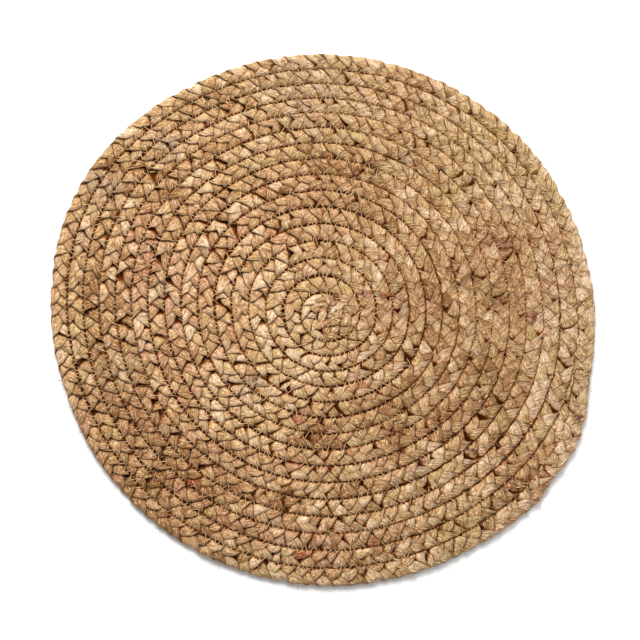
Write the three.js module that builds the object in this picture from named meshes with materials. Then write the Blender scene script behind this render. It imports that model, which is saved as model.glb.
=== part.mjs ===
// Round braided placemat: one long plait of dried leaf, coiled flat from the middle outwards and sewn
// edge to edge, so the mat is a single piece. Millimetres, +Z up. The underside lies on z = 0, and
// the origin is the middle of the mat's box on that plane.

import * as THREE from 'three';

// The plait and its coil
const ROW_WIDTH = 11.55;        // from one seam to the next, on average
const TURNS = 16.955;           // turns of plait, counted along its outer edge from the middle
const START_DIRECTION = 4;      // where the coil starts, in degrees counter-clockwise from +X
const THICKNESS = 7;            // over the flat crowns of the rows
const SEAM_THICKNESS = 3.6;     // between the groove over a seam and the groove under it
const CROWN_INNER = 0.24;       // where a row's flat crown begins and ends, as a share of its width
const CROWN_OUTER = 0.76;
const STEPS_PER_TURN = 44;

// The hand-wound coil is not round: each row of the table is one wave round the rim
const RIM_WAVES = [
  { perTurn: 1, height: 0.6, toward: 45 },
  { perTurn: 2, height: 4.9, toward: 164 },
  { perTurn: 3, height: 0.6, toward: 19 },
  { perTurn: 4, height: 1.3, toward: 66 },
  { perTurn: 6, height: 0.5, toward: 34 },
];
// Between the middle and the rim the rows crowd outwards on one side
const CROWDING = { everywhere: 1, height: 5.5, toward: 105 };

// The tail of the plait is drawn in over the row before it and sewn down
const TAIL = { length: 0.055, drawnIn: 8, rise: 2 };

const LEAF_COLOUR = 0xc39a6b;
const LEAF_ROUGHNESS = 0.85;

const RIM_RADIUS = ROW_WIDTH * TURNS;
const MID_HEIGHT = THICKNESS / 2;
const STEPS = Math.round(TURNS * STEPS_PER_TURN);

const radians = THREE.MathUtils.degToRad;

function directionAt(turns) {
  return 2 * Math.PI * turns + radians(START_DIRECTION);
}

// How far the tail has been drawn in, from 0 where it leaves its own row to 1 at its cut end
function tailShare(turns) {
  return THREE.MathUtils.smoothstep(turns, TURNS - TAIL.length, TURNS);
}

// Distance from the coil's start to the outer edge of the plait after so many turns
function edgeRadius(turns) {
  const direction = directionAt(turns);
  const share = turns / TURNS;
  let width = ROW_WIDTH;
  for (const wave of RIM_WAVES) {
    const height = wave.height * Math.cos(wave.perTurn * (direction - radians(wave.toward)));
    width += height * ROW_WIDTH / RIM_RADIUS;
  }
  const crowding = CROWDING.everywhere + CROWDING.height * Math.cos(direction - radians(CROWDING.toward));
  return width * turns + crowding * Math.sin(Math.PI * share) - TAIL.drawnIn * tailShare(turns);
}

// How much higher the top is where the tail lies on the row before it
function lapRise(turns) {
  const onTail = tailShare(turns);
  const underTail = turns <= TURNS - 1 ? tailShare(turns + 1) : 0;
  return TAIL.rise * Math.max(onTail, underTail);
}

// The mat is a band between two neighbouring edges of the plait. Across the band a section has a
// groove, a flat crown and the next groove, above and below. Neighbouring turns share their groove.
function braidedMatGeometry() {
  const positions = [];
  const faces = [];

  function vertex(radius, direction, height) {
    positions.push(radius * Math.cos(direction), radius * Math.sin(direction), height);
    return positions.length / 3 - 1;
  }

  // A strip between two lines across the band, leaving out triangles that close up in the middle
  function quad(a, b, c, d) {
    for (const [p, q, r] of [[a, b, c], [a, c, d]]) {
      if (p !== q && q !== r && r !== p) faces.push(p, q, r);
    }
  }

  const middle = {
    top: vertex(0, 0, MID_HEIGHT + SEAM_THICKNESS / 2),
    bottom: vertex(0, 0, MID_HEIGHT - SEAM_THICKNESS / 2),
  };
  const start = { crownInner: middle, crownOuter: middle, edge: middle };
  const sections = [start];
  for (let step = 1; step <= STEPS; step += 1) {
    const turns = step / STEPS_PER_TURN;
    const direction = directionAt(turns);
    const outer = edgeRadius(turns);
    const inner = turns > 1 ? edgeRadius(turns - 1) : 0;
    const rise = lapRise(turns);
    const crown = (share) => {
      const radius = THREE.MathUtils.lerp(inner, outer, share);
      return { top: vertex(radius, direction, THICKNESS + rise), bottom: vertex(radius, direction, 0) };
    };
    sections.push({
      crownInner: crown(CROWN_INNER),
      crownOuter: crown(CROWN_OUTER),
      edge: {
        top: vertex(outer, direction, MID_HEIGHT + SEAM_THICKNESS / 2 + rise),
        bottom: vertex(outer, direction, MID_HEIGHT - SEAM_THICKNESS / 2),
      },
    });
  }

  const innerEdge = (step) => sections[Math.max(step - STEPS_PER_TURN, 0)].edge;
  const acrossBand = (step) => {
    const section = sections[step];
    return [innerEdge(step), section.crownInner, section.crownOuter, section.edge];
  };

  for (let step = 0; step < STEPS; step += 1) {
    const here = acrossBand(step);
    const next = acrossBand(step + 1);
    for (let line = 0; line < 3; line += 1) {
      quad(here[line].top, here[line + 1].top, next[line + 1].top, next[line].top);
      quad(here[line].bottom, next[line].bottom, next[line + 1].bottom, here[line + 1].bottom);
    }
  }
  // The outer side of the last turn
  for (let step = STEPS - STEPS_PER_TURN; step < STEPS; step += 1) {
    const here = sections[step].edge;
    const next = sections[step + 1].edge;
    quad(here.bottom, next.bottom, next.top, here.top);
  }
  // The cut end of the tail
  const end = acrossBand(STEPS);
  for (let line = 0; line < 3; line += 1) {
    quad(end[line].top, end[line + 1].top, end[line + 1].bottom, end[line].bottom);
  }

  const geometry = new THREE.BufferGeometry();
  geometry.setAttribute('position', new THREE.Float32BufferAttribute(positions, 3));
  geometry.setIndex(faces);
  geometry.computeBoundingBox();
  const box = geometry.boundingBox;
  geometry.translate(-(box.min.x + box.max.x) / 2, -(box.min.y + box.max.y) / 2, 0);
  geometry.computeVertexNormals();
  return geometry;
}

const placemat = new THREE.Group();
const leaf = new THREE.MeshStandardMaterial({ color: LEAF_COLOUR, roughness: LEAF_ROUGHNESS, metalness: 0 });
const mat = new THREE.Mesh(braidedMatGeometry(), leaf);
mat.name = 'braided_mat';
placemat.add(mat);

export default placemat;
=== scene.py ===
"""A round placemat: one three-strand plait of dried leaf, coiled flat and sewn edge to edge.

Lengths are metres. The frame's +Z is up and the mat lies on z = 0.
"""

import logging
import math
from dataclasses import dataclass, field
from enum import Enum
from typing import Callable

import bmesh
import bpy
import numpy as np
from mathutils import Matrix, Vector
from mathutils.bvhtree import BVHTree


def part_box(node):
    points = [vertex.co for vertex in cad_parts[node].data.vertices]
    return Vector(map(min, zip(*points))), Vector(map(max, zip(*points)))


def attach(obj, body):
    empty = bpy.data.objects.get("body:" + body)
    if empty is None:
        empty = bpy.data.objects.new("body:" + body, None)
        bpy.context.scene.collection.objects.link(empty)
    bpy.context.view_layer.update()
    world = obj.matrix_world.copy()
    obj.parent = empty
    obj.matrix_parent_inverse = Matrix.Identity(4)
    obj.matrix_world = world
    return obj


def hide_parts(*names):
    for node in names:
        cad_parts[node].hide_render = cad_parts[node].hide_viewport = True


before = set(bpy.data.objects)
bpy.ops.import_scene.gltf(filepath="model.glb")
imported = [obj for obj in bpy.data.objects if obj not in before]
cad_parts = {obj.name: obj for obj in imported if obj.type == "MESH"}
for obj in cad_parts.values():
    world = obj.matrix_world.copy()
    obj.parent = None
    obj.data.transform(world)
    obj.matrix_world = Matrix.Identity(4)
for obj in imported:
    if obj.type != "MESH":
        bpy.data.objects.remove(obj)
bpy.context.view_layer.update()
MAT_NODE = "braided_mat"
MAP_NAME = "along_and_across"
MID_HEIGHT = 0.0035  # half of the mat's thickness
WELD = 1e-7  # how close two points are before they become one
TINY = 1e-12  # keeps a length of nothing out of a division
TURN = 2.0 * np.pi

Array = np.ndarray
Mesh = bpy.types.Mesh
Socket = bpy.types.NodeSocket
Pair = tuple[float, float]
Colour = tuple[float, float, float, float]

log = logging.getLogger("placemat")


# ---------------- small helpers ----------------


def smooth_step(value: Array, low: float, high: float) -> Array:
    """Returns 0 below low, 1 above high and a smooth rise between them."""
    share = np.clip((value - low) / (high - low), 0.0, 1.0)
    return share * share * (3.0 - 2.0 * share)


def linear(red: int, green: int, blue: int) -> Colour:
    """Turns a display colour into the linear colour that shaders use.

    Args:
        red: its red, from 0 to 255.
        green: its green.
        blue: its blue.

    Returns:
        The linear colour, opaque.
    """
    parts = [channel / 255.0 for channel in (red, green, blue)]
    curved = [((c + 0.055) / 1.055) ** 2.4 if c > 0.04045 else c / 12.92 for c in parts]
    return (curved[0], curved[1], curved[2], 1.0)


def wander(rng: np.random.Generator, place: Array, spacing: float) -> Array:
    """Makes smooth random numbers of mean 0 and spread 1 along a line.

    Args:
        rng: the source of random numbers.
        place: where along the line the numbers are wanted, from 0 up.
        spacing: the distance between one free value and the next.

    Returns:
        One number for each place.
    """
    at = place / spacing
    first = np.floor(at).astype(int)
    knots = rng.normal(size=int(first.max()) + 2)
    blend = smooth_step(at - first, 0.0, 1.0)
    return knots[first] * (1.0 - blend) + knots[first + 1] * blend


def unit(vectors: Array) -> Array:
    """Returns the vectors at length 1."""
    return vectors / np.maximum(np.linalg.norm(vectors, axis=1, keepdims=True), TINY)


def way_along(radius: Array, direction: Array) -> Array:
    """Returns the length of a curve round the start up to each of its points."""
    steps = np.hypot(np.diff(radius), 0.5 * (radius[1:] + radius[:-1]) * np.diff(direction))
    return np.concatenate([[0.0], np.cumsum(steps)])


# ---------------- the coil ----------------


@dataclass(frozen=True)
class RimWave:
    """One wave round the rim of the hand-wound coil."""

    per_turn: int
    height: float
    toward: float


@dataclass(frozen=True)
class Coil:
    """The route of the plait, a spiral that a hand has wound and that is not quite round."""

    row_width: float = 0.01155
    turns: float = 16.955
    start_direction: float = 4.0
    waves: tuple[RimWave, ...] = (
        RimWave(1, 0.0006, 45.0),
        RimWave(2, 0.0049, 164.0),
        RimWave(3, 0.0006, 19.0),
        RimWave(4, 0.0013, 66.0),
        RimWave(6, 0.0005, 34.0),
    )
    crowding_everywhere: float = 0.001
    crowding: RimWave = RimWave(1, 0.0055, 105.0)
    tail_length: float = 0.05
    tail_shift: float = 0.0108
    tail_narrower: float = 0.2
    rim_shift: float = 0.85
    splice: float = 0.083
    splice_length: float = 0.016
    splice_share: float = 0.27
    first_turn: float = 0.28
    samples: int = 24000
    rim_samples: int = 721

    def direction(self, turns: Array) -> Array:
        """Returns the direction from the coil's start, in radians, after so many turns."""
        return TURN * turns + math.radians(self.start_direction)

    def reach(self, rows: Array, direction: Array) -> Array:
        """Works out how far from the start a line lies.

        Args:
            rows: how many row widths the line is from the start.
            direction: the direction in which it is wanted, in radians.

        Returns:
            The distance from the coil's start.
        """
        width = np.full_like(direction, self.row_width)
        for wave in self.waves:
            height = wave.height * np.cos(wave.per_turn * (direction - math.radians(wave.toward)))
            width = width + height / self.turns
        lean = np.cos(direction - math.radians(self.crowding.toward))
        crowding = self.crowding_everywhere + self.crowding.height * lean
        share = np.clip(rows / self.turns, 0.0, 1.0)
        return width * rows + crowding * np.sin(np.pi * share)

    def tail_share(self, turns: Array) -> Array:
        """Works out how far the plait is drawn in over the row before it.

        Args:
            turns: how many turns from the start.

        Returns:
            0 on the rows, more from the splice on, and 1 at the cut end of the tail.
        """
        splice = self.turns - self.splice
        spliced = smooth_step(turns, splice, splice + self.splice_length)
        cut = smooth_step(turns, self.turns - self.tail_length, self.turns)
        return self.splice_share * spliced + (1.0 - self.splice_share) * cut

    def row_centre(self, turns: Array) -> Array:
        """Works out where the middle of the plait runs.

        The first turn has no turn inside it, so it fills the whole way from the start.

        Args:
            turns: how many turns from the start.

        Returns:
            The distance from the start to the middle of the plait.
        """
        direction = self.direction(turns)
        later = self.reach(turns - 0.5, direction)
        natural = np.where(turns < 1.0, 0.5 * self.reach(turns, direction), later)
        return natural - self.tail_shift * self.tail_share(turns)

    def half_width(self, turns: Array) -> Array:
        """Works out how wide the plait is, which narrows on the tail.

        Args:
            turns: how many turns from the start.

        Returns:
            Half of the width, from seam to seam.
        """
        direction = self.direction(turns)
        inside = self.reach(np.maximum(turns - 1.0, 0.0), direction)
        on_tail = smooth_step(turns, self.turns - 0.5 * self.tail_length, self.turns)
        return 0.5 * (self.reach(turns, direction) - inside) * (1.0 - self.tail_narrower * on_tail)

    def seam(self, turns: Array) -> Array:
        """Returns the distance from the start to the seam outside the row at so many turns."""
        natural = self.reach(turns, self.direction(turns))
        return natural - self.tail_shift * self.tail_share(turns + 1.0)

    def start(self) -> Array:
        """Works out where the coil starts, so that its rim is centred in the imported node's box.

        Returns:
            x and y of the start.
        """
        turns = np.linspace(self.turns - 1.0, self.turns, self.rim_samples)
        direction = self.direction(turns)
        rim = self.reach(turns, direction) - self.rim_shift * self.tail_shift * self.tail_share(turns)
        sideways, across = rim * np.cos(direction), rim * np.sin(direction)
        low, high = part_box(MAT_NODE)
        return np.array(
            [
                0.5 * (low.x + high.x - sideways.min() - sideways.max()),
                0.5 * (low.y + high.y - across.min() - across.max()),
            ]
        )

    def lengths(self) -> tuple[Array, Array]:
        """Returns the turns at places along the plait, and the length of plait up to each."""
        turns = np.linspace(self.first_turn, self.turns, self.samples)
        return turns, way_along(self.row_centre(turns), self.direction(turns))


COIL = Coil()
START = COIL.start()


def on_circle(radius: Array, direction: Array) -> Array:
    """Returns x and y at each distance and in each direction from the coil's start."""
    ways = np.cos(direction), np.sin(direction)
    return np.stack([middle + radius * way for middle, way in zip(START, ways)], axis=1)


# ---------------- meshes ----------------


@dataclass
class Wrapped:
    """What a wrapping function gives for the points of a flat grid."""

    places: Array
    along: Array
    across: Array
    numbers: dict[str, Array] = field(default_factory=dict)


def wrap_grid(
    name: str,
    steps: int,
    sides: int,
    wrap: Callable[[Array, Array], Wrapped],
    runs: int = 1,
) -> Mesh:
    """Wraps a flat grid into one long tube, or into several short ones.

    Args:
        name: the mesh's name.
        steps: grid faces along the tube, over all runs.
        sides: grid faces round the tube.
        wrap: places the grid's points, from their share of the way along and of the way round.
        runs: how many separate tubes the grid is cut into, by cutting out one face after each run.

    Returns:
        A closed mesh with the texture map and the numbers that wrap gives.
    """
    shape = bmesh.new()
    shape.loops.layers.uv.new(MAP_NAME)
    bmesh.ops.create_grid(shape, x_segments=steps, y_segments=sides, size=1.0, calc_uvs=True)
    mesh = bpy.data.meshes.new(name)
    shape.to_mesh(mesh)
    shape.free()

    flat = np.zeros(len(mesh.vertices) * 3, np.float32)
    mesh.vertices.foreach_get("co", flat)
    flat = 0.5 * (flat.reshape(-1, 3).astype(float) + 1.0)
    wrapped = wrap(flat[:, 0], flat[:, 1])
    mesh.vertices.foreach_set("co", wrapped.places.astype(np.float32).ravel())
    for label, values in wrapped.numbers.items():
        layer = mesh.attributes.new(label, "FLOAT", "POINT")
        layer.data.foreach_set("value", values.astype(np.float32))
    corner = np.zeros(len(mesh.loops), np.int32)
    mesh.loops.foreach_get("vertex_index", corner)
    places = np.stack([wrapped.along[corner], wrapped.across[corner]], axis=1)
    mesh.uv_layers[0].uv.foreach_set("vector", places.astype(np.float32).ravel())

    shape = bmesh.new()
    shape.from_mesh(mesh)
    if runs > 1:
        run = (steps + 1) // runs
        bridges = [face for face in shape.faces if face.index % steps % run == run - 1]
        bmesh.ops.delete(shape, geom=bridges, context="FACES")
    rim = [vertex for vertex in shape.verts if vertex.is_boundary]
    bmesh.ops.remove_doubles(shape, verts=rim, dist=WELD)
    ends = [edge for edge in shape.edges if edge.is_boundary]
    bmesh.ops.holes_fill(shape, edges=ends, sides=0)
    bmesh.ops.recalc_face_normals(shape, faces=shape.faces[:])
    shape.to_mesh(mesh)
    shape.free()
    mesh.update()
    return mesh


def new_piece(name: str, mesh: Mesh, material: bpy.types.Material) -> bpy.types.Object:
    """Puts a finished mesh into the scene as a piece of the mat.

    Args:
        name: the piece's name.
        mesh: its mesh, in place.
        material: its finish.

    Returns:
        The piece.
    """
    piece = bpy.data.objects.new(name, mesh)
    bpy.context.scene.collection.objects.link(piece)
    mesh.materials.append(material)
    mesh.polygons.foreach_set("use_smooth", np.ones(len(mesh.polygons), bool))
    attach(piece, "root")
    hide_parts(MAT_NODE)
    log.info("%s: %d faces", name, len(mesh.polygons))
    return piece


# ---------------- the plait ----------------


class Tint(Enum):
    """How a patch of leaf differs: more brown, more pink, and more stained."""

    PALE = (-0.55, -0.05, 0.0)
    GREY = (0.05, 0.00, -1.0)
    OLIVE = (0.10, -0.60, 0.0)
    YELLOW = (-0.25, -0.45, 0.0)
    BROWN = (0.60, 0.05, 0.0)
    ROSE = (0.25, 0.55, 0.0)
    RED = (0.30, 0.60, 0.85)
    PURPLE = (0.30, -0.40, 1.0)


@dataclass(frozen=True)
class Spot:
    """A spot of the mat with its own tint, so many rows from the start in one direction."""

    tint: Tint
    rows: float
    toward: float
    size: float

    def middle(self) -> Array:
        """Works out where the spot is.

        Returns:
            x and y of its middle.
        """
        toward = math.radians(self.toward)
        reach = float(COIL.reach(np.array([self.rows]), np.array([toward]))[0])
        return START + reach * np.array([math.cos(toward), math.sin(toward)])


@dataclass(frozen=True)
class Patch(Spot):
    """A spot whose tint fades out all round."""

    strength: float

    def share(self, places: Array) -> Array:
        """Returns the strength in the middle of the patch, and 0 far from it."""
        away = np.linalg.norm(places[:, :2] - self.middle(), axis=1)
        return self.strength * np.exp(-((away / self.size) ** 2))


def patches(tint: Tint, *spots: tuple[float, float, float, float]) -> list[Patch]:
    """Returns patches of one tint, each from its rows, direction in degrees, size and strength."""
    return [Patch(tint, *spot) for spot in spots]


# The broad patches in the outer rows leave the mat mostly paler on the right and browner on the left.
PATCHES = [
    *patches(
        Tint.PALE,
        (0, 0, 0.06, 0.4), (17.5, 15, 0.062, 1), (14.5, 45, 0.05, 0.35), (9.4, 331, 0.005, 1),
        (9, 313, 0.005, 0.8), (17.5, 335, 0.045, 0.8), (17, 295, 0.035, 0.8), (15, 95, 0.045, 0.6),
        (13, 275, 0.035, 0.45), (8, 225, 0.028, 0.4), (12.3, 315, 0.03, 0.35), (14.4, 107, 0.006, 1),
        (7.6, 143, 0.006, 1), (14.3, 260, 0.006, 1.1), (14.4, 270, 0.005, 1.1),
        (10.6, 335, 0.006, 1.1), (15.8, 348, 0.003, 1.3),
    ),
    *patches(
        Tint.GREY,
        (14, 92, 0.05, 0.45), (11.5, 300, 0.008, 0.8), (12.5, 195, 0.02, 0.4),
        (15.3, 150, 0.014, 0.75), (13.6, 133, 0.011, 0.65), (15.2, 162, 0.008, 0.85),
        (9.6, 170, 0.008, 0.75), (6.8, 222, 0.012, 0.65), (10.1, 63.5, 0.008, 0.85),
    ),
    *patches(
        Tint.ROSE,
        (15, 190, 0.045, 0.35), (15, 265, 0.04, 0.25), (10.3, 324, 0.007, 0.8),
        (10.8, 165, 0.026, 0.6), (14, 270, 0.02, 0.55), (11, 28, 0.02, 0.6), (12.5, 12, 0.03, 0.4),
    ),
    *patches(
        Tint.BROWN,
        (9.6, 318, 0.008, 0.8), (8.9, 306, 0.006, 1), (8, 85, 0.04, 0.95), (9, 135, 0.03, 0.35),
        (8.5, 10, 0.045, 0.7), (16.5, 150, 0.045, 0.75), (16, 200, 0.045, 0.35),
        (13.5, 205, 0.009, 0.7), (14.2, 228, 0.012, 0.6), (13.2, 238, 0.009, 0.7),
        (12.8, 258, 0.011, 0.8), (8, 268, 0.012, 0.6), (17, 285, 0.025, 0.4), (17, 325, 0.025, 0.4),
        (15, 225, 0.06, 1), (15, 180, 0.04, 0.35), (8, 262, 0.026, 0.75), (8.3, 300, 0.024, 0.75),
        (10.5, 333, 0.026, 0.8), (14.5, 280, 0.03, 0.55),
    ),
    *patches(
        Tint.OLIVE,
        (13.5, 50, 0.055, 0.25), (13, 92, 0.045, 0.2), (17.2, 222, 0.03, 0.5), (17.2, 258, 0.03, 0.5),
        (17.2, 300, 0.035, 0.5), (16.2, 142, 0.012, 0.7),
    ),
    *patches(
        Tint.YELLOW,
        (17.2, 275, 0.035, 0.3), (15.5, 40, 0.06, 0.55), (16.5, 350, 0.04, 0.5), (15, 305, 0.03, 0.5),
        (16, 188, 0.03, 0.7), (6, 60, 0.03, 0.5), (4, 230, 0.022, 0.5),
    ),
    *patches(
        Tint.RED,
        (10.8, 166.5, 0.004, 1), (10.6, 156, 0.004, 0.7), (6.6, 140, 0.004, 0.4), (3.6, 17, 0.004, 1),
        (7.9, 20, 0.004, 0.9), (11.5, 4, 0.003, 1), (12.8, 313, 0.004, 0.8), (8.7, 300, 0.005, 0.6),
        (5.8, 199, 0.003, 0.5), (6, 214, 0.003, 0.5), (15.2, 145, 0.004, 0.6),
        (15.2, 219, 0.004, 0.5),
    ),
    *patches(
        Tint.PURPLE,
        (16.1, 338, 0.0035, 1.1), (15.2, 286, 0.004, 0.8), (14, 275, 0.004, 0.7),
        (10.8, 139, 0.006, 0.45), (10.2, 340, 0.006, 0.6), (1.1, 64, 0.004, 1.2),
        (16.4, 321.5, 0.003, 0.9),
    ),
]


def tinted(places: Array) -> tuple[Array, Array, Array]:
    """Adds up the patches.

    Args:
        places: the points of a piece.

    Returns:
        How brown, how pink and how stained each point is, where 0.5, 0.5 and 0 are plain.
    """
    total = np.zeros((len(places), 3))
    for patch in PATCHES:
        total += patch.share(places)[:, None] * np.array(patch.tint.value)
    return 0.5 + total[:, 0], 0.5 + total[:, 1], total[:, 2]


@dataclass(frozen=True)
class Merging:
    """Where two rows reach into each other: a little anywhere, and most on the calm side of the mat."""

    anywhere: float = 0.40
    beat: tuple[float, float, float] = (9.1, 2.6, 3.7)
    calm: float = 0.60
    calm_toward: float = math.radians(40.0)
    calm_spread: Pair = (0.6, 1.0)
    calm_rows: Pair = (5.0, 12.0)
    reach: float = 0.14
    further_from: float = 0.5
    further: float = 0.24

    def share(self, turns: Array, sideways: Array) -> Array:
        """Works out how far the two rows at a seam merge.

        Args:
            turns: how many turns from the start each point is.
            sideways: how far each point is from the plait's middle line, outwards.

        Returns:
            0 where the seam is a straight groove, to 1 where the rows hide it.
        """
        at = turns - (sideways < 0.0)
        quick, swing, slow = self.beat
        beat = 0.5 + 0.5 * np.sin(quick * at + swing * np.sin(slow * at))
        side = 0.5 + 0.5 * np.cos(COIL.direction(at) - self.calm_toward)
        calm = self.calm * smooth_step(turns, *self.calm_rows) * smooth_step(side, *self.calm_spread)
        return np.clip(self.anywhere * beat + calm, 0.0, 1.0)

    def lengthened(self, reach: float, share: Array) -> Array:
        """Returns how far sideways a row reaches where it merges, from the reach of a plain one."""
        return reach + self.reach * share + self.further * np.maximum(share - self.further_from, 0.0)

    def toward_calm(self, places: Array) -> Array:
        """Returns how far each place lies towards the calm side."""
        return places[:, 0] * np.cos(self.calm_toward) + places[:, 1] * np.sin(self.calm_toward)


@dataclass(frozen=True)
class Unevenness:
    """How far the strands vary: slip and drift in metres, the rest as shares of their own measure.

    Folds say how many run lengthwise round a strand, and how deep they are.
    """

    slip: float = 0.0015
    drift: float = 0.00045
    sway: float = 0.09
    lift: float = 0.22
    thick: float = 0.14
    wide: float = 0.18
    least_wide: float = 0.86
    folds: tuple[Pair, ...] = ((3.0, 0.03), (5.0, 0.04))


@dataclass(frozen=True)
class Mottling:
    """How far the leaf's tones vary along a strand.

    Age and blush have a slow and a quick part. Stain and grey are a strength, and how rare they are.
    """

    age: Pair = (0.24, 0.11)
    blush: Pair = (0.13, 0.06)
    stain: Pair = (1.3, 1.7)
    grey: Pair = (0.5, 1.6)

    def tones(self, places: Array, slow: tuple[Array, Array], quick: list[Array]) -> dict[str, Array]:
        """Works out the leaf's tones.

        Args:
            places: the points of a strand.
            slow: slow random numbers along the strand, for its age and its blush.
            quick: quick ones, for its age, its blush and its stains.

        Returns:
            The numbers that the leaf's finish reads.
        """
        age, blush, stain = tinted(places)
        far = np.abs(quick[:2])
        stained = self.stain[0] * np.maximum(quick[2] - self.stain[1], 0.0)
        greyed = self.grey[0] * np.maximum(-self.grey[1] - quick[2], 0.0)
        return {
            "leaf": age + self.age[0] * slow[0] + self.age[1] * quick[0] * far[0] ** 0.5,
            "hue": blush + self.blush[0] * slow[1] + self.blush[1] * quick[1] * far[1],
            "stain": stain + stained - greyed,
        }


@dataclass(frozen=True)
class HollowShade:
    """Painted shade on the plait: between the strands, along the seams, and less on the calm side."""

    lit_height: float = 0.95
    seam: float = 0.85
    seam_band: Pair = (0.83, 1.06)
    merged_lighter: float = 0.7
    calm_lighter: float = 0.2
    calm_distance: float = 0.15
    rim_lighter: float = 0.8
    rim_turns: Pair = (1.0, 0.99)
    rim_from: float = 0.2


@dataclass
class Plait:
    """Three flattened bundles of leaf, plaited into one flat braid that follows the coil."""

    strands: int = 3
    period: float = 0.0324
    finer_start: float = 0.14
    finer_length: float = 0.5
    curled_start: float = 0.3
    curled_length: float = 0.025
    sway: float = 0.0044
    wider_start: float = 0.12
    wider_length: float = 0.12
    lift: float = 0.00170
    lead: float = -0.10
    half_wide: float = 0.0049
    half_thick: float = 0.00165
    narrower_bend: float = 0.06
    roll_speed: float = 2.0
    tilt: float = 0.10
    fullness: float = 2.7
    nominal_half: float = 0.0057
    pressed_from: float = 0.72
    pressed_to: float = 1.10
    rim_free: float = 0.15
    rim_pressed: float = 0.85
    groove: float = 0.40
    groove_band: Pair = (0.78, 1.08)
    tail_rise: float = 0.0026
    tail_flatter: float = 0.2
    under_tail_dip: float = 0.0009
    under_tail_flatter: float = 0.3
    least_radius: float = 0.0002
    least_height: float = 0.00005
    map_stretch: float = 1.2
    map_shift: float = 13.7
    map_twist: float = 0.003
    map_girth: float = 0.6
    merging: Merging = Merging()
    uneven: Unevenness = Unevenness()
    mottling: Mottling = Mottling()
    hollows: HollowShade = HollowShade()
    steps_per_period: int = 20
    sides: int = 16
    seed: int = 11

    def __post_init__(self) -> None:
        """Measures the route once, for all strands."""
        self.turns_at, self.length_at = COIL.lengths()
        self.length = float(self.length_at[-1])
        finer = 1.0 - self.finer_start * np.exp(-self.length_at / self.finer_length)
        finer = finer - self.curled_start * np.exp(-self.length_at / self.curled_length)
        steps = np.diff(self.length_at) / (self.period * 0.5 * (finer[1:] + finer[:-1]))
        self.phase_at = TURN * np.concatenate([[0.0], np.cumsum(steps)])
        self.periods = float(self.phase_at[-1] / TURN)

    def near_seam(self, sideways: Array, band: Pair) -> Array:
        """Returns 0 to 1 over a band beside the seam, given in shares of half the row's width."""
        return smooth_step(np.abs(sideways), band[0] * self.nominal_half, band[1] * self.nominal_half)

    def place(self, length: Array, sideways: Array, height: Array) -> Array:
        """Carries points from the straight plait onto the coil.

        Args:
            length: how far along the plait each point is.
            sideways: how far it is from the middle line, outwards.
            height: how far it is above the plait's middle plane.

        Returns:
            The points in the frame, one row each.
        """
        turns = np.interp(length, self.length_at, self.turns_at)
        direction = COIL.direction(turns)
        merged = self.merging.share(turns, sideways)
        free = self.pressed_from * self.nominal_half
        room = self.merging.lengthened(self.pressed_to, merged) * self.nominal_half - free
        beyond = room * np.tanh(np.maximum(np.abs(sideways) - free, 0.0) / room)
        pressed = np.sign(sideways) * (np.minimum(np.abs(sideways), free) + beyond)
        at_rim = (turns > COIL.turns - 1.0) & (sideways > 0.0)
        groove = self.groove * self.near_seam(sideways, self.groove_band) * (1.0 - merged)
        height = height * (1.0 - groove * ~at_rim)
        sideways = np.where(at_rim, self.rim_free * sideways + self.rim_pressed * pressed, pressed)
        scale = COIL.half_width(turns) / self.nominal_half
        radius = np.maximum(COIL.row_centre(turns) + sideways * scale, self.least_radius)
        on_tail = COIL.tail_share(turns)
        under_tail = COIL.tail_share(turns + 1.0) * (turns < COIL.turns - 1.0)
        middle = MID_HEIGHT + self.tail_rise * on_tail - self.under_tail_dip * under_tail
        flatter = 1.0 - self.tail_flatter * on_tail - self.under_tail_flatter * under_tail
        level = np.maximum(middle + height * flatter, self.least_height)
        return np.column_stack([on_circle(radius, direction), level])

    def painted_shade(self, point: Array, turns: Array, places: Array) -> Array:
        """Works out the painted shade in the plait's hollows and seams.

        Args:
            point: the points on the straight plait.
            turns: how many turns from the start each of them is.
            places: the same points on the coil.

        Returns:
            How much painted shade there is: 0 on the crowns, and up to 1 in the deepest hollows.
        """
        dark = self.hollows
        height = np.abs(point[:, 2]) / (self.lift + self.half_thick)
        hollow = np.clip(1.0 - height / dark.lit_height, 0.0, 1.0)
        seam = dark.seam * self.near_seam(point[:, 1], dark.seam_band)
        seam = seam * (1.0 - dark.merged_lighter * self.merging.share(turns, point[:, 1]))
        calm = smooth_step(self.merging.toward_calm(places), 0.0, dark.calm_distance)
        hollow = np.maximum(hollow, seam) * (1.0 - dark.calm_lighter * calm)
        outside = smooth_step(turns, COIL.turns - dark.rim_turns[0], COIL.turns - dark.rim_turns[1])
        outside = outside * smooth_step(point[:, 1], dark.rim_from * self.sway, self.sway)
        return hollow * (1.0 - dark.rim_lighter * outside)

    def strand(self, index: int) -> Mesh:
        """Makes one strand.

        Args:
            index: which of the strands, from 0.

        Returns:
            The strand's mesh.
        """
        rng = np.random.default_rng(self.seed + index)
        offset = TURN * index / self.strands
        steps = int(round(self.periods * self.steps_per_period))

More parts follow.
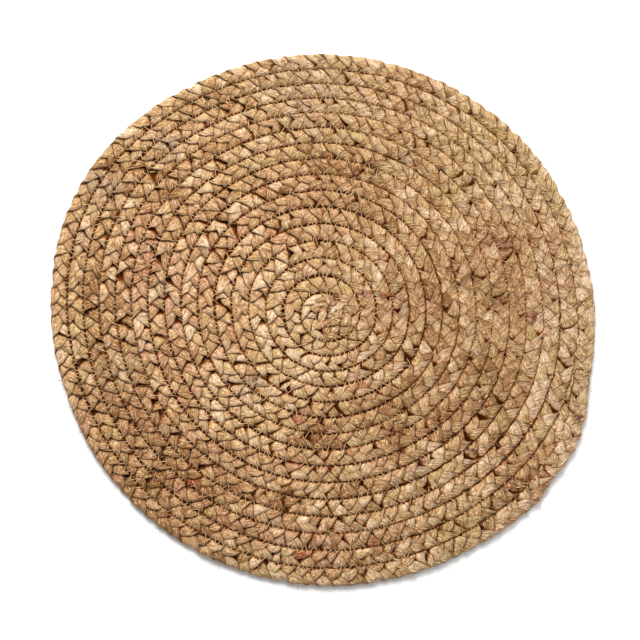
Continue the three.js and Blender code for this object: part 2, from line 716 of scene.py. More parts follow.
        def wrap(way: Array, round_it: Array) -> Wrapped:
            """Wraps the flat grid round this strand's centreline.

            Args:
                way: each point's share of the way along.
                round_it: each point's share of the way round.

            Returns:
                The points, their map and their numbers.
            """
            phase = way * self.phase_at[-1]
            turn = phase + offset
            length = np.interp(phase, self.phase_at, self.length_at)
            uneven, quarter = self.uneven, 0.25 * TURN
            slow = wander(rng, turn, 3.0 * TURN), wander(rng, turn, 4.5 * TURN)
            twist = wander(rng, turn, 0.75 * TURN)
            quick = [wander(rng, turn + 0.5 * quarter, quarter) for _ in range(3)]
            sway = self.sway * (1.0 + uneven.sway * wander(rng, turn, quarter))
            sway = sway * (1.0 + self.wider_start * np.exp(-length / self.wider_length))
            lift = self.lift * (1.0 + uneven.lift * wander(rng, turn, quarter))
            slip = uneven.slip * wander(rng, turn, quarter)
            drift = uneven.drift * wander(rng, turn, 0.5 * TURN)
            share = np.maximum(1.0 + uneven.wide * wander(rng, turn, quarter), uneven.least_wide)
            wide = self.half_wide * share
            thick = self.half_thick * (1.0 + uneven.thick * wander(rng, turn, quarter))

            sine, cosine = np.sin(turn), np.cos(turn)
            weave = 2.0 * turn + self.lead
            centre = np.stack([length + slip, sway * sine + drift, lift * np.sin(weave)], axis=1)
            pace = np.full_like(turn, self.period / TURN)
            ahead = unit(np.stack([pace, sway * cosine, 2.0 * lift * np.cos(weave)], axis=1))
            side = unit(np.stack([-ahead[:, 1], ahead[:, 0], np.zeros_like(turn)], axis=1))
            up = np.cross(ahead, side)
            roll = -0.25 * TURN * (1.0 - np.tanh(self.roll_speed * cosine)) - self.tilt * cosine
            roll = roll[:, None]
            broad = side * np.cos(roll) + up * np.sin(roll)
            out = up * np.cos(roll) - side * np.sin(roll)

            wide = wide * (1.0 - self.narrower_bend * np.abs(sine) ** 4)
            around = TURN * round_it
            power = 2.0 / self.fullness
            across = np.sign(np.cos(around)) * np.abs(np.cos(around)) ** power
            over = np.sign(np.sin(around)) * np.abs(np.sin(around)) ** power
            fold = 1.0
            for number, depth in uneven.folds:
                fold = fold + depth * np.cos(number * around + 2.0 * wander(rng, turn, 0.5 * TURN))
            point = centre + broad * (wide * across * fold)[:, None]
            point = point + out * (thick * over * fold)[:, None]

            turns = np.interp(length, self.length_at, self.turns_at)
            places = self.place(point[:, 0], point[:, 1], point[:, 2])
            girth = TURN * self.map_girth * (self.half_wide + self.half_thick)
            return Wrapped(
                places=places,
                along=way * self.length * self.map_stretch + self.map_shift * index,
                across=round_it * girth + self.map_twist * twist,
                numbers={
                    # painted shade in the hollows and seams, which the leaf's finish reads
                    "hollow": self.painted_shade(point, turns, places),
                    **self.mottling.tones(places, slow, quick),
                },
            )

        return wrap_grid(f"strand_{index}", steps, self.sides, wrap)


# ---------------- what lies on the plait ----------------


class Face(Enum):
    """Which of the mat's two faces something lies on. The value points out of the face."""

    UPPER = 1.0
    UNDER = -1.0


class Surface:
    """The strands' surface, for laying thread and fibres on it."""

    cast_from: float = 0.05

    def __init__(self, meshes: list[Mesh]) -> None:
        """Gathers the strands into one tree for casting rays.

        Args:
            meshes: the strands.
        """
        shape = bmesh.new()
        for mesh in meshes:
            shape.from_mesh(mesh)
        self.tree = BVHTree.FromBMesh(shape)
        shape.free()

    def heights(self, places: Array, face: Face = Face.UPPER) -> Array:
        """Finds how high the surface is.

        Args:
            places: x and y of each place, along the last axis.
            face: the face that is wanted.

        Returns:
            z of the surface at each place, or of the middle plane where there is none.
        """
        found = []
        toward = Vector((0.0, 0.0, -face.value))
        for sideways, across in places.reshape(-1, 2):
            hit = self.tree.ray_cast(Vector((sideways, across, self.cast_from * face.value)), toward)[0]
            found.append(MID_HEIGHT if hit is None else hit.z)
        return np.array(found).reshape(places.shape[:-1])


def tube(paths: Array, which: Array, round_it: Array, wide: Array, thick: Array) -> Array:
    """Places points round thin tubes.

    Args:
        paths: the centreline points, by tube and by place along the tube.
        which: the centreline point that each wanted point goes round, counted over all tubes.
        round_it: each point's share of the way round.
        wide: half of the tube's width for each point.
        thick: half of its thickness for each point.

    Returns:
        The points, one row each.
    """
    ahead = unit(np.gradient(paths, axis=1).reshape(-1, 3))
    side = unit(np.cross(np.array([0.0, 0.0, 1.0]), ahead))
    over = np.cross(ahead, side)
    around = TURN * round_it
    ring = side[which] * (wide * np.cos(around))[:, None]
    ring = ring + over[which] * (thick * np.sin(around))[:, None]
    return paths.reshape(-1, 3)[which] + ring


@dataclass
class Stitching:
    """The zigzag seams that hold each turn of the coil to the next."""

    surface: Surface
    stroke: float = 0.0034
    stroke_spread: float = 0.0008
    reach: float = 0.0031
    reach_shares: Pair = (0.5, 1.6)
    drift: float = 0.0004
    drift_strokes: float = 8.0
    radius: float = 0.00023
    arch: float = 0.3
    slack: float = 0.0008
    sunk: float = 0.0022
    sunk_shares: Pair = (0.6, 0.4)
    sunk_strokes: float = 12.0
    hidden: float = 0.0008
    hidden_strokes: float = 2.3
    hidden_beyond: Pair = (0.2, 1.2)
    tight_lean: float = 0.1
    tight_from: float = 0.02
    tight_to: float = 0.09
    floor_gap: float = 0.00002
    map_stretch: float = 1.6
    first_turn: float = 0.9
    points: int = 5
    sides: int = 4
    seed: int = 31

    def buried(self, places: Array) -> Array:
        """Returns how deep the thread is sunk: most on the right, where it is pulled tight."""
        right = places[:, 0] + self.tight_lean * places[:, 1]
        return self.sunk * smooth_step(right, self.tight_from, self.tight_to)

    def mesh(self, face: Face) -> Mesh:
        """Makes the seam of one face.

        Args:
            face: the face that the seam shows on.

        Returns:
            One long tube of thread.
        """
        rng = np.random.default_rng(self.seed + int(face.value))
        turns = np.linspace(self.first_turn, COIL.turns - 1.0, COIL.samples)
        along = way_along(COIL.seam(turns), COIL.direction(turns))
        count = int(along[-1] / self.stroke)
        corners = np.linspace(0.0, along[-1], count + 1)
        corners = corners + rng.normal(0.0, self.stroke_spread, count + 1)
        sides = np.where(np.arange(count + 1) % 2, 1.0, -1.0)
        swing = sides * self.reach * rng.uniform(*self.reach_shares, count + 1)
        swing = swing + self.drift * wander(rng, np.arange(count + 1.0), self.drift_strokes)

        way = np.arange(count * self.points + 1) / self.points
        whole = np.arange(count + 1.0)
        at = np.interp(way, whole, corners)
        off = np.interp(way, whole, swing)
        seam_turns = np.interp(np.clip(at, 0.0, along[-1]), along, turns)
        places = on_circle(COIL.seam(seam_turns) + off, COIL.direction(seam_turns))
        skin = self.surface.heights(places, face) * face.value

        between = way - np.floor(way)
        chord = np.interp(way, whole, skin[:: self.points])
        lift = self.arch * self.radius * np.sin(np.pi * between)
        plain, varied = self.sunk_shares
        buried = self.buried(places) * (plain + varied * wander(rng, way, self.sunk_strokes))
        hidden = smooth_step(wander(rng, way, self.hidden_strokes), *self.hidden_beyond)
        buried = buried + self.hidden * hidden
        level = np.maximum(skin, chord - self.slack) + lift - buried
        level = np.where(between == 0.0, skin - 2.0 * self.radius, level)
        height = np.maximum(level * face.value, self.radius + self.floor_gap)
        centre = np.column_stack([places, height])
        steps = count * self.points

        def wrap(share: Array, round_it: Array) -> Wrapped:
            """Wraps the flat grid round the thread.

            Args:
                share: each point's share of the way along.
                round_it: each point's share of the way round.

            Returns:
                The points and their map.
            """
            which = np.rint(share * steps).astype(int)
            radius = np.full_like(share, self.radius)
            return Wrapped(
                places=tube(centre[None], which, round_it, radius, radius),
                along=share * along[-1] * self.map_stretch,
                across=round_it * TURN * self.radius,
            )

        return wrap_grid(f"stitching_{face.name.lower()}", steps, self.sides, wrap)


@dataclass(frozen=True)
class Tuft(Spot):
    """A spot where so many cut ends and torn slivers of leaf stick out."""

    count: int


TUFTS = (
    Tuft(Tint.OLIVE, 0.7, 320, 0.004, 4),
    Tuft(Tint.ROSE, 1.3, 285, 0.003, 6),
    Tuft(Tint.PALE, 1.3, 240, 0.004, 5),
    Tuft(Tint.PALE, 15.75, 347.5, 0.003, 10),
    Tuft(Tint.PURPLE, 16.1, 338, 0.0025, 4),
    Tuft(Tint.RED, 16.4, 322, 0.004, 8),
    Tuft(Tint.BROWN, 15.6, 320, 0.005, 12),
    Tuft(Tint.RED, 15.2, 318, 0.004, 4),
    Tuft(Tint.BROWN, 10.8, 166, 0.005, 6),
    Tuft(Tint.RED, 10.6, 157, 0.005, 3),
    Tuft(Tint.PALE, 10.8, 334, 0.007, 5),
    Tuft(Tint.PURPLE, 10.4, 340, 0.006, 5),
    Tuft(Tint.BROWN, 8, 300, 0.007, 8),
    Tuft(Tint.BROWN, 7.6, 275, 0.008, 8),
    Tuft(Tint.BROWN, 15, 285, 0.009, 9),
    Tuft(Tint.BROWN, 14, 272, 0.009, 9),
    Tuft(Tint.ROSE, 11.2, 27, 0.008, 9),
    Tuft(Tint.RED, 11.4, 5, 0.006, 6),
    Tuft(Tint.RED, 3.6, 17, 0.002, 3),
    Tuft(Tint.BROWN, 13, 240, 0.012, 8),
    Tuft(Tint.BROWN, 15, 222, 0.012, 9),
    Tuft(Tint.PALE, 7.6, 285, 0.006, 3),
    Tuft(Tint.BROWN, 10.6, 60, 0.012, 6),
)


@dataclass(frozen=True)
class LeafEnd:
    """A broad end of leaf, folded over the middle where the coil starts."""

    tint: Tint
    sideways: float
    across: float
    heading: float
    length: float
    half_wide: float
    half_thick: float = 0.0010
    bend: float = 0.0
    strength: float = 0.5


LEAF_ENDS = (
    LeafEnd(Tint.BROWN, -0.0036, 0.0108, 12.0, 0.0120, 0.0018, strength=0.3),
    LeafEnd(Tint.OLIVE, -0.0046, 0.0074, 9.0, 0.0115, 0.0017, strength=0.2),
    LeafEnd(Tint.BROWN, 0.0038, 0.0092, 115.0, 0.0075, 0.0021, strength=0.8),
    LeafEnd(Tint.PURPLE, 0.0026, 0.0056, 72.0, 0.0085, 0.0009, 0.0012, strength=1.0),
    LeafEnd(Tint.ROSE, -0.0022, 0.0034, 150.0, 0.0080, 0.0024, strength=0.5),
    LeafEnd(Tint.PALE, -0.0026, -0.0012, 70.0, 0.0095, 0.0026, 0.0012, strength=0.2),
    LeafEnd(Tint.PALE, 0.0052, 0.0034, 55.0, 0.0085, 0.0016, strength=0.7),
    LeafEnd(Tint.PALE, 0.0092, 0.0058, 50.0, 0.0100, 0.0026, strength=0.3),
    LeafEnd(Tint.ROSE, -0.0040, -0.0070, 20.0, 0.0090, 0.0027, strength=0.6),
    LeafEnd(Tint.BROWN, 0.0062, -0.0052, 20.0, 0.0090, 0.0022, bend=-0.5, strength=0.5),
    LeafEnd(Tint.YELLOW, 0.0055, -0.0028, 28.0, 0.0120, 0.0009, 0.0010, bend=-1.0, strength=1.9),
    LeafEnd(Tint.PALE, 0.0142, -0.0042, 68.0, 0.0095, 0.0014, strength=0.9),
)


@dataclass
class Fibres:
    """Loose hairs, torn slivers and broad ends of leaf that stand out of the plait."""

    surface: Surface
    plait: Plait
    hairs: int = 3800
    hair_points: int = 5
    hair_sides: int = 3
    hair_size: Pair = (0.002, 0.010)
    hair_growth: Pair = (3.0, 0.0016)
    hair_curl: float = 0.9
    hair_rise: float = 0.0006
    hair_least_rise: float = 0.0001
    hair_arch: float = 0.8
    hair_thick: Pair = (0.00008, 0.00019)
    hair_sunk: float = 0.0002
    hair_age: Pair = (0.0, 0.6)
    hair_blush: Pair = (0.3, 0.7)
    seam_share: float = 0.6
    seam_place: Pair = (0.0052, 0.0008)
    row_half: float = 0.0055
    middle_share: float = 0.002
    single_slivers: int = 130
    single_tones: tuple[Pair, ...] = ((0.5, 0.4), (0.5, 0.25), (0.0, 0.3))
    sliver_points: int = 6
    sliver_sides: int = 6
    sliver_size: Pair = (0.003, 0.0075)
    sliver_curl: float = 0.35
    sliver_rise: float = 0.0003
    sliver_wide: Pair = (0.0003, 0.0009)
    sliver_thick: Pair = (0.00008, 0.00013)
    sliver_sunk: float = 0.0006
    sliver_pressed: float = 0.0001
    tuft_age: Pair = (0.3, 1.3)
    tuft_stain: Pair = (0.3, 1.1)
    inward_from: float = 15.2
    inward_spread: float = 1.4
    tucked_share: float = 0.6
    end_points: int = 12
    end_sides: int = 12
    end_level: Pair = (0.3, 0.7)
    end_pressed: float = 0.45
    end_sunk: float = 0.0003
    end_roundness: float = 1.02
    underside: Pair = (-0.35, 0.3)
    # how much painted shade the underside of the broad ends gets
    underside_painted_shade: float = 0.62
    taper: float = 0.55
    map_step: float = 0.0016
    map_shift: float = 0.0031
    seed: int = 53

    def lay(self, feet: Array, bend: Array, stride: Array) -> tuple[Array, Array]:
        """Lays short paths over the plait.

        Args:
            feet: x and y of where each path starts.
            bend: the heading of each step of each path, in radians.
            stride: the length of each path's steps.

        Returns:
            x and y of each path's points, and the height of the plait under them.
        """
        steps = np.stack([np.cos(bend), np.sin(bend)], axis=2) * stride[:, None, None]
        places = feet[:, None, :] + np.cumsum(steps, axis=1)
        return places, self.surface.heights(places)

    def scattered(self, rng: np.random.Generator, count: int) -> Array:
        """Returns places along the plait, spread evenly over the mat."""
        return self.plait.length * np.sqrt(rng.uniform(self.middle_share, 1.0, count))

    def hair(self) -> Mesh:
        """Makes all loose hairs.

        Returns:
            One mesh of short tubes.
        """
        rng = np.random.default_rng(self.seed)
        count = self.hairs
        length = self.scattered(rng, count)
        near_seam = rng.uniform(size=count) < self.seam_share
        side = np.where(rng.uniform(size=count) < 0.5, -1.0, 1.0)
        seam_side = side * rng.normal(*self.seam_place, count)
        sideways = np.where(near_seam, seam_side, rng.uniform(-self.row_half, self.row_half, count))
        feet = self.plait.place(length, sideways, np.zeros(count))[:, :2]
        heading = rng.uniform(0.0, TURN, count)
        size = rng.gamma(*self.hair_growth, count).clip(*self.hair_size)
        curl = rng.normal(0.0, self.hair_curl, count)
        rise = np.abs(rng.normal(0.0, self.hair_rise, count)) + self.hair_least_rise
        thick = rng.uniform(*self.hair_thick, count)
        way = np.linspace(0.0, 1.0, self.hair_points)
        bend = heading[:, None] + curl[:, None] * way[None, :]
        places, skin = self.lay(feet, bend, size / (self.hair_points - 1))
        level = np.maximum.accumulate(skin, axis=1)
        height = 0.5 * (level + skin) + rise[:, None] * np.sin(self.hair_arch * np.pi * way)[None, :]
        height[:, 0] = skin[:, 0] - self.hair_sunk
        paths = np.concatenate([places, height[:, :, None]], axis=2)
        age, blush = rng.uniform(*self.hair_age, count), rng.uniform(*self.hair_blush, count)
        tones = age, blush, np.zeros(count)
        return self.tubes("loose_fibres", paths, (thick, thick), tones, self.hair_sides)

    def slivers(self) -> Mesh:
        """Makes the torn slivers and cut ends of leaf, in tufts and one by one.

        Returns:
            One mesh of short flat tubes.
        """
        rng = np.random.default_rng(self.seed + 1)
        feet, tones = [], []
        for tuft in TUFTS:
            age, blush, stain = tuft.tint.value
            for _ in range(tuft.count):
                feet.append(tuft.middle() + rng.normal(0.0, 0.5 * tuft.size, 2))
                older = age * rng.uniform(*self.tuft_age)
                tones.append((0.5 + older, 0.5 + blush, stain * rng.uniform(*self.tuft_stain)))
        single = self.single_slivers
        length = self.scattered(rng, single)
        sideways = rng.uniform(-self.row_half, self.row_half, single)
        feet.extend(self.plait.place(length, sideways, np.zeros(single))[:, :2])
        tones.extend(np.transpose([rng.normal(*tone, single) for tone in self.single_tones]))
        feet, tones = np.array(feet), np.array(tones)
        count = len(feet)
        way = np.linspace(0.0, 1.0, self.sliver_points)
        size = rng.uniform(*self.sliver_size, count)
        inward = np.arctan2(START[1] - feet[:, 1], START[0] - feet[:, 0])
        heading = rng.uniform(0.0, TURN, count)
        outer = np.hypot(*(feet - START).T) > self.inward_from * COIL.row_width
        spread = rng.uniform(-self.inward_spread, self.inward_spread, count)
        heading = np.where(outer, inward + spread, heading)
        bend = heading[:, None] + rng.normal(0.0, self.sliver_curl, count)[:, None] * way
        places, skin = self.lay(feet, bend, size / (self.sliver_points - 1))
        level = 0.5 * (skin + skin.max(axis=1, keepdims=True))
        tucked = rng.uniform(size=count) < self.tucked_share
        height = level - self.sliver_pressed + self.sliver_rise * np.sin(np.pi * way)
        height[:, 0] = skin[:, 0] - self.sliver_sunk
        height[:, -1] = np.where(tucked, skin[:, -1] - self.sliver_sunk, height[:, -1])
        paths = np.concatenate([places, height[:, :, None]], axis=2)
        sizes = rng.uniform(*self.sliver_wide, count), rng.uniform(*self.sliver_thick, count)
        return self.tubes("leaf_slivers", paths, sizes, tuple(tones.T), self.sliver_sides)

    def ends(self) -> Mesh:
        """Makes the broad leaf ends over the middle of the coil.

        Returns:
            One mesh of short broad tubes.
        """
        way = np.linspace(0.0, 1.0, self.end_points)
        paths, tones = [], []
        for end in LEAF_ENDS:
            toward = math.radians(end.heading) + end.bend * (way - 0.5)
            stride = np.stack([np.cos(toward), np.sin(toward)], axis=1) * end.length / self.end_points
            places = np.cumsum(stride, axis=0)
            places = places - places.mean(axis=0) + START + np.array([end.sideways, end.across])
            skin = self.surface.heights(places)
            mean, top = self.end_level
            level = mean * skin.mean() + top * skin.max() - self.end_pressed * end.half_thick
            drop = (np.abs(2.0 * way - 1.0) ** 3) * (level - skin.min() + self.end_sunk)
            paths.append(np.column_stack([places, level - drop]))
            tones.append(np.array([0.5, 0.5, 0.0]) + end.strength * np.array(end.tint.value))
        paths, tones = np.array(paths), tuple(np.array(tones).T)
        sizes = tuple(np.array([(end.half_wide, end.half_thick) for end in LEAF_ENDS]).T)
        return self.tubes("leaf_ends", paths, sizes, tones, self.end_sides, rounded=True)

    def tubes(
        self,
        name: str,
        paths: Array,
        sizes: tuple[Array, Array],
        tones: tuple[Array, Array, Array],
        sides: int,
        rounded: bool = False,
    ) -> Mesh:
        """Makes many short tubes in one mesh.

        Args:
            name: the mesh's name.
            paths: the points of each tube.
            sizes: half of each tube's width and of its thickness.
            tones: how brown, how pink and how stained each tube is.
            sides: how many sides a tube has.
            rounded: whether both ends are rounded off, and the underside gets painted shade.

        Returns:
            The mesh.
        """
        count, points = paths.shape[:2]
        steps = count * points - 1

        def wrap(share: Array, round_it: Array) -> Wrapped:
            """Wraps the flat grid round all paths, one after another.

            Args:
                share: each point's share of the way along all of them.
                round_it: each point's share of the way round.

            Returns:
                The points, their map and their numbers.
            """
            which = np.rint(share * steps).astype(int)
            one, at = which // points, which % points
            taper = 1.0 - self.taper * (at == points - 1)
            low = np.zeros_like(share)
            if rounded:
                taper = np.sqrt(self.end_roundness - (2.0 * at / (points - 1) - 1.0) ** 4)
                # Painted shade on the underside of the broad leaf ends.
                low = self.underside_painted_shade * smooth_step(-np.sin(TURN * round_it), *self.underside)
            wide, thick = sizes[0][one] * taper, sizes[1][one] * taper
            leaf, hue, stain = (tone[one] for tone in tones)
            return Wrapped(
                places=tube(paths, which, round_it, wide, thick),
                along=which * self.map_step,
                across=round_it * 4.0 * wide + one * self.map_shift,
                numbers={"hollow": low, "leaf": leaf, "hue": hue, "stain": stain},
            )

        return wrap_grid(name, steps, sides, wrap, runs=count)


# ---------------- finishes ----------------


class Nodes:
    """A short way of writing a shader's nodes and links."""

    columns: int = 12
    spacing: tuple[int, int] = (190, 260)

    def __init__(self, tree: bpy.types.NodeTree) -> None:
        """Starts in an empty tree."""
        self.tree = tree
        self.count = 0

    def feed(self, socket: Socket, value: object) -> None:
        """Links an output to an input, or sets the input's value.

        Args:
            socket: the input.
            value: an output of another node, or a plain value.
        """
        if isinstance(value, Socket):
            self.tree.links.new(value, socket)
        else:
            socket.default_value = value

    def add(
        self, kind: str, inputs: dict[str, object] | None = None, **settings: object
    ) -> bpy.types.Node:
        """Adds a node.

        Args:
            kind: the node's type without its ShaderNode prefix.
            inputs: a value or an output for each named or numbered input.
            settings: the node's own properties.

        Returns:
            The node.
        """
        node = self.tree.nodes.new("ShaderNode" + kind)
        line, column = divmod(self.count, self.columns)
        node.location = (column * self.spacing[0], -line * self.spacing[1])
        self.count += 1
        for key, value in settings.items():
            setattr(node, key, value)
        for key, value in (inputs or {}).items():
            self.feed(node.inputs[key], value)
        return node

    def maths(self, operation: str, *values: object) -> Socket:
        """Returns the result of a Math node on values or outputs."""
        return self.add("Math", dict(enumerate(values)), operation=operation).outputs[0]

    def between(
        self, value: object, low: float, high: float, first: float = 0.0, last: float = 1.0
    ) -> Socket:
        """Returns a value moved smoothly from one range to another, and held within it."""
        inputs = {0: value, 1: low, 2: high, 3: first, 4: last}
        return self.add("MapRange", inputs, interpolation_type="SMOOTHSTEP", clamp=True).outputs[0]

    def blend(self, share: object, first: object, second: object) -> Socket:
        """Mixes two colours.

        Args:
            share: how much of the second colour there is.
            first: the first colour, as a value or an output.
            second: the second colour.

        Returns:
            The mix.
        """
        node = self.add("Mix", data_type="RGBA", clamp_factor=True)
        for number, value in ((0, share), (6, first), (7, second)):
            self.feed(node.inputs[number], value)
        return node.outputs[2]

    def tinge(
        self, base: object, colour: object, value: object, low: float, high: float, most: float
    ) -> Socket:
        """Returns the base with up to the most of a colour, as the value goes from low to high."""
        return self.blend(self.between(value, low, high, 0.0, most), base, colour)

    def finish(self, inputs: dict[str, object]) -> None:
        """Ends the tree in a Principled surface with these inputs."""
        surface = self.add("BsdfPrincipled", inputs)
        self.tree.links.new(surface.outputs[0], self.add("OutputMaterial").inputs[0])


def new_material(name: str) -> tuple[bpy.types.Material, Nodes]:
    """Starts a material.

    Args:
        name: its name.

    Returns:
        The material without nodes, and the writer of its nodes.
    """
    material = bpy.data.materials.new(name)
    material.use_nodes = True
    material.node_tree.nodes.clear()
    return material, Nodes(material.node_tree)


@dataclass(frozen=True)
class Streaks:
    """One set of streaks that run lengthwise along the leaf."""

    width: float
    length: float
    detail: float
    sharpness: float

    @staticmethod
    def group() -> bpy.types.ShaderNodeTree:
        """Makes the shared group of streaks, once.

        Returns:
            The group, which gives one number from 0 to 1 for a place on the map in metres.
        """
        name = "leaf_streaks"
        if name in bpy.data.node_groups:
            return bpy.data.node_groups[name]
        tree = bpy.data.node_groups.new(name, "ShaderNodeTree")
        tree.interface.new_socket("Place", in_out="INPUT", socket_type="NodeSocketVector")
        for label, value in (("Width", 0.001), ("Length", 0.01), ("Detail", 1.0), ("Sharpness", 0.2)):
            socket = tree.interface.new_socket(label, in_out="INPUT", socket_type="NodeSocketFloat")
            socket.default_value = value
        tree.interface.new_socket("Streak", in_out="OUTPUT", socket_type="NodeSocketFloat")
        nodes = Nodes(tree)
        entry = tree.nodes.new("NodeGroupInput").outputs
        leave = tree.nodes.new("NodeGroupOutput")
        split = nodes.add("SeparateXYZ", {0: entry["Place"]})
        along = nodes.maths("DIVIDE", split.outputs[0], entry["Length"])
        across = nodes.maths("DIVIDE", split.outputs[1], entry["Width"])
        at = nodes.add("CombineXYZ", {0: along, 1: across, 2: 0.0}).outputs[0]
        inputs = {"Vector": at, "Scale": 1.0, "Detail": entry["Detail"], "Roughness": 0.55}
        noise = nodes.add("TexNoise", inputs, noise_dimensions="2D").outputs[0]
        low = nodes.maths("SUBTRACT", 0.5, entry["Sharpness"])
        high = nodes.maths("ADD", 0.5, entry["Sharpness"])
        ranged = nodes.add("MapRange", {0: noise, 1: low, 2: high}, interpolation_type="SMOOTHSTEP")
        tree.links.new(ranged.outputs[0], leave.inputs["Streak"])
        return tree

    def add(self, nodes: Nodes, place: Socket) -> Socket:
        """Adds these streaks to a material.

        Args:
            nodes: the writer of the material's nodes.
            place: where on the leaf a point is, along and across.

        Returns:
            How strong the streak is there, from 0 to 1.
        """
        sizes = {"Width": self.width, "Length": self.length, "Detail": self.detail}
        inputs = {"Place": place, "Sharpness": self.sharpness, **sizes}
        return nodes.add("Group", inputs, node_tree=self.group()).outputs["Streak"]


@dataclass(frozen=True)
class LeafFinish:
    """Dried leaf: straw to brown, pinkish and olive in places, with folds, and painted shade in its
    folds, hollows and where strands touch.
    """

    straw: Colour = linear(227, 198, 163)
    tan: Colour = linear(200, 164, 118)
    brown: Colour = linear(142, 98, 49)
    rose: Colour = linear(187, 141, 107)
    olive: Colour = linear(189, 161, 108)
    grey: Colour = linear(173, 149, 122)
    spot: Colour = linear(112, 56, 26)
    red: Colour = linear(150, 70, 40)
    purple: Colour = linear(92, 50, 48)
    fray: Colour = linear(100, 54, 16)
    # Painted shade where strands touch.
    edge: Colour = linear(122, 66, 22)
    # The next two colours are painted shade: the first in hollows, seams and folds, the second in the
    # deepest hollows.
    crease_shade: Colour = linear(104, 48, 6)
    deep: Colour = linear(62, 27, 5)
    roughness: float = 0.62
    strips: Streaks = Streaks(0.0034, 0.05, 1.0, 0.22)
    folds: Streaks = Streaks(0.0011, 0.008, 1.0, 0.20)
    fibres: Streaks = Streaks(0.0006, 0.0024, 2.0, 0.15)
    specks: Streaks = Streaks(0.0016, 0.0024, 3.0, 0.22)
    cloud_scale: float = 42.0
    contact_distance: float = 0.0012
    fold_depth: float = 0.00045

    def material(self) -> bpy.types.Material:
        """Makes the leaf's material.

        Returns:
            The material, which reads the strand's own map and numbers.
        """
        material, nodes = new_material("plaited_leaf")
        place = nodes.add("UVMap", uv_map=MAP_NAME).outputs[0]
        hollow, leaf, hue, stain = (
            nodes.add("Attribute", attribute_name=label).outputs["Fac"]
            for label in ("hollow", "leaf", "hue", "stain")
        )
        strip, fold, fibre, speck = (
            streaks.add(nodes, place) for streaks in (self.strips, self.folds, self.fibres, self.specks)
        )

        # Tones: clouds over the whole mat, then straw to brown by age, then the rarer colours.
        where = nodes.add("TexCoord").outputs["Object"]
        inputs = {"Vector": where, "Scale": self.cloud_scale, "Detail": 2.0, "Roughness": 0.6}
        cloud = nodes.add("TexNoise", inputs).outputs["Color"]
        clouds = nodes.add("SeparateColor", {"Color": cloud}).outputs
        leaf = nodes.maths("ADD", leaf, nodes.between(clouds["Red"], 0.3, 0.7, -0.22, 0.22))
        hue = nodes.maths("ADD", hue, nodes.between(clouds["Green"], 0.3, 0.7, -0.15, 0.15))
        stain = nodes.maths("ADD", stain, nodes.between(clouds["Blue"], 0.45, 0.75, 0.0, -0.35))
        tone = nodes.maths("SUBTRACT", strip, 0.5)
        age = nodes.maths("ADD", leaf, nodes.maths("MULTIPLY", tone, 0.22))
        base = nodes.tinge(self.straw, self.tan, age, 0.05, 0.6, 1.0)
        base = nodes.tinge(base, self.brown, age, 0.5, 1.3, 1.0)
        base = nodes.tinge(base, self.rose, hue, 0.5, 1.0, 0.85)
        base = nodes.tinge(base, self.olive, hue, 0.5, 0.05, 0.8)
        base = nodes.tinge(base, self.spot, speck, 0.74, 0.95, 0.45)
        base = nodes.tinge(base, self.grey, stain, -0.15, -0.9, 0.85)
        stained = nodes.tinge(self.purple, self.red, hue, 0.35, 0.6, 1.0)
        base = nodes.tinge(base, stained, stain, 0.2, 0.9, 0.9)

        # Painted shade: the folds, the hollows and the lines where strands touch are made darker and
        # deeper in colour, where shade falls.
        # Ambient occlusion finds where strands touch; it drives the painted shade there.
        contact = nodes.add("AmbientOcclusion", {"Distance": self.contact_distance}, samples=6)
        ambient_occlusion = contact.outputs["AO"]
        folded = nodes.between(fold, 0.7, 0.0)
        frayed = nodes.between(fibre, 0.7, 0.0)
        depth = nodes.maths("MULTIPLY_ADD", folded, 0.22, 1.0)
        depth = nodes.maths("ADD", nodes.between(hollow, 0.26, 0.62, 0.0, 2.6), depth)
        depth = nodes.maths("ADD", nodes.between(ambient_occlusion, 0.95, 0.5, 0.0, 0.6), depth)
        shade = nodes.add("Gamma", {"Color": base, "Gamma": depth}).outputs[0]
        # Painted shade in the folds.
        shade = nodes.blend(nodes.maths("MULTIPLY", folded, 0.13), shade, self.crease_shade)
        shade = nodes.blend(nodes.maths("MULTIPLY", frayed, 0.42), shade, self.fray)
        shade = nodes.tinge(shade, self.straw, fibre, 0.55, 1.0, 0.34)
        # Painted shade where strands touch.
        shade = nodes.tinge(shade, self.edge, ambient_occlusion, 0.85, 0.38, 0.9)
        # Painted shade in the hollows and seams, darkest at the bottom of them.
        shade = nodes.tinge(shade, self.crease_shade, hollow, 0.36, 0.64, 0.9)
        shade = nodes.tinge(shade, self.deep, hollow, 0.5, 0.72, 0.9)

        height = nodes.maths("MULTIPLY_ADD", fold, 0.7, nodes.maths("MULTIPLY", fibre, 0.7))
        bump = nodes.add("Bump", {"Strength": 1.0, "Distance": self.fold_depth, "Height": height})
        rough = nodes.between(fibre, 0.0, 1.0, self.roughness - 0.08, self.roughness + 0.14)
        open_leaf = nodes.between(ambient_occlusion, 0.8, 1.0)
        gloss = nodes.maths("MULTIPLY", open_leaf, nodes.between(hollow, 0.0, 0.3, 0.12, 0.0))
        looks = {"Base Color": shade, "Roughness": rough, "Specular IOR Level": gloss}
        nodes.finish({**looks, "Normal": bump.outputs[0]})
        return material


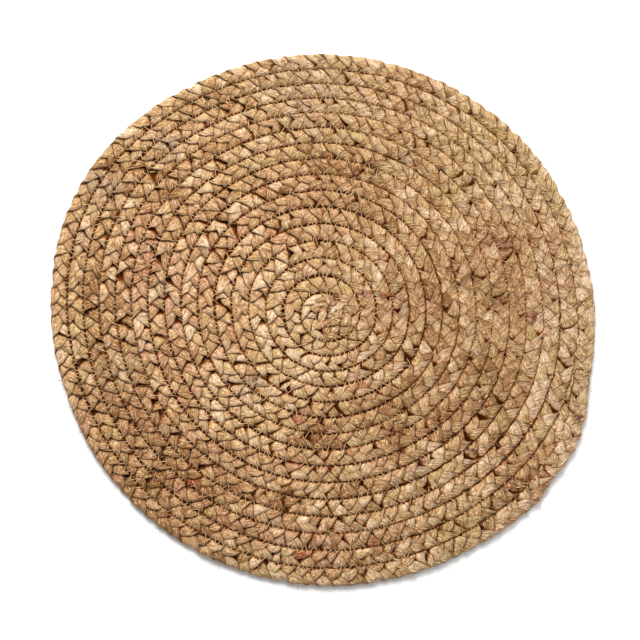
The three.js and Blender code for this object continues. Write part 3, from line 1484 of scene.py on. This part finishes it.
@dataclass(frozen=True)
class ThreadFinish:
    """Thin light tan sewing thread."""

    light: Colour = linear(222, 188, 140)
    dark: Colour = linear(190, 150, 102)
    roughness: float = 0.55
    twists: tuple[float, float, float] = (900.0, 500.0, 1.0)
    twist_depth: float = 0.0001

    def material(self) -> bpy.types.Material:
        """Makes the thread's material.

        Returns:
            The material, which reads the thread's own map.
        """
        material, nodes = new_material("sewing_thread")
        place = nodes.add("UVMap", uv_map=MAP_NAME).outputs[0]
        at = nodes.add("VectorMath", {0: place, 1: self.twists}, operation="MULTIPLY").outputs[0]
        inputs = {"Vector": at, "Scale": 1.0, "Distortion": 1.0}
        twist = nodes.add("TexWave", inputs, bands_direction="DIAGONAL").outputs["Fac"]
        colour = nodes.blend(twist, self.dark, self.light)
        bump = nodes.add("Bump", {"Strength": 0.5, "Distance": self.twist_depth, "Height": twist})
        nodes.finish({"Base Color": colour, "Roughness": self.roughness, "Normal": bump.outputs[0]})
        return material


# ---------------- the studio ----------------


@dataclass(frozen=True)
class SoftLight:
    """A round soft light that shines at the middle of the mat."""

    name: str
    place: tuple[float, float, float]
    width: float
    power: float

    def build(self) -> None:
        """Hangs the light."""
        lamp = bpy.data.lights.new(self.name, "AREA")
        lamp.shape = "DISK"
        lamp.size = self.width
        lamp.energy = self.power
        light = bpy.data.objects.new(self.name, lamp)
        light.location = self.place
        light.rotation_euler = (-Vector(self.place)).to_track_quat("-Z", "Y").to_euler()
        bpy.context.scene.collection.objects.link(light)


@dataclass
class Studio:
    """A plain pale floor, soft light from the far side, and a camera nearly overhead."""

    floor_half: float = 3.0
    floor_colour: Colour = (0.9, 0.9, 0.9, 1.0)
    floor_roughness: float = 0.9
    soft_lights: tuple[SoftLight, ...] = (
        SoftLight("key_light", (-0.20, 0.92, 1.22), 0.95, 36.0),
        SoftLight("fill_light", (0.75, 0.55, 1.6), 1.0, 8.0),
    )
    room_light: float = 0.46
    elevation: float = 87.0
    distance: float = 1.7
    picture_width: float = 0.4514
    sensor: float = 36.0
    aim: Pair = (-0.0018, -0.0009)

    def build(self) -> None:
        """Makes the floor, the lights and the camera."""
        self.floor()
        self.lights()
        self.camera()

    def floor(self) -> None:
        """Lays a plain pale floor under the mat."""
        shape = bmesh.new()
        bmesh.ops.create_grid(shape, x_segments=1, y_segments=1, size=self.floor_half)
        mesh = bpy.data.meshes.new("floor")
        shape.to_mesh(mesh)
        shape.free()
        floor = bpy.data.objects.new("floor", mesh)
        bpy.context.scene.collection.objects.link(floor)
        material, nodes = new_material("floor_white")
        nodes.finish({"Base Color": self.floor_colour, "Roughness": self.floor_roughness})
        mesh.materials.append(material)

    def lights(self) -> None:
        """Hangs the soft lights, and fills the rest from a white world."""
        for light in self.soft_lights:
            light.build()
        world = bpy.data.worlds.new("white_room")
        bpy.context.scene.world = world
        world.use_nodes = True
        inputs = world.node_tree.nodes["Background"].inputs
        inputs[0].default_value = (1.0, 1.0, 1.0, 1.0)
        inputs[1].default_value = self.room_light
        bpy.context.scene.view_settings.view_transform = "Standard"

    def camera(self) -> None:
        """Points a long lens down at the mat."""
        lens = bpy.data.cameras.new("camera")
        lens.sensor_width = self.sensor
        lens.lens = self.sensor * self.distance / self.picture_width
        camera = bpy.data.objects.new("camera", lens)
        tilt = math.radians(self.elevation)
        back = Vector((0.0, -math.cos(tilt), math.sin(tilt)))
        camera.location = Vector((*self.aim, MID_HEIGHT)) + back * self.distance
        camera.rotation_euler = (0.5 * math.pi - tilt, 0.0, 0.0)
        bpy.context.scene.collection.objects.link(camera)
        bpy.context.scene.camera = camera


# ---------------- the whole ----------------


def main() -> None:
    """Builds the placemat and its studio."""
    logging.basicConfig(level=logging.INFO, format="%(name)s %(message)s")
    Studio().build()
    leaf = LeafFinish().material()
    plait = Plait()
    log.info("plait %.3f m long, %.1f periods", plait.length, plait.periods)
    strands = [
        new_piece(f"strand_{name}", plait.strand(index), leaf)
        for index, name in enumerate(("first", "second", "third"))
    ]
    surface = Surface([strand.data for strand in strands])
    thread = ThreadFinish().material()
    stitching = Stitching(surface)
    extras = [
        new_piece(f"stitching_{face.name.lower()}", stitching.mesh(face), thread)
        for face in Face
    ]
    fibres = Fibres(surface, plait)
    extras.append(new_piece("loose_fibres", fibres.hair(), leaf))
    extras.append(new_piece("leaf_slivers", fibres.slivers(), leaf))
    extras.append(new_piece("leaf_ends", fibres.ends(), leaf))


if __name__ == "__main__":
    main()
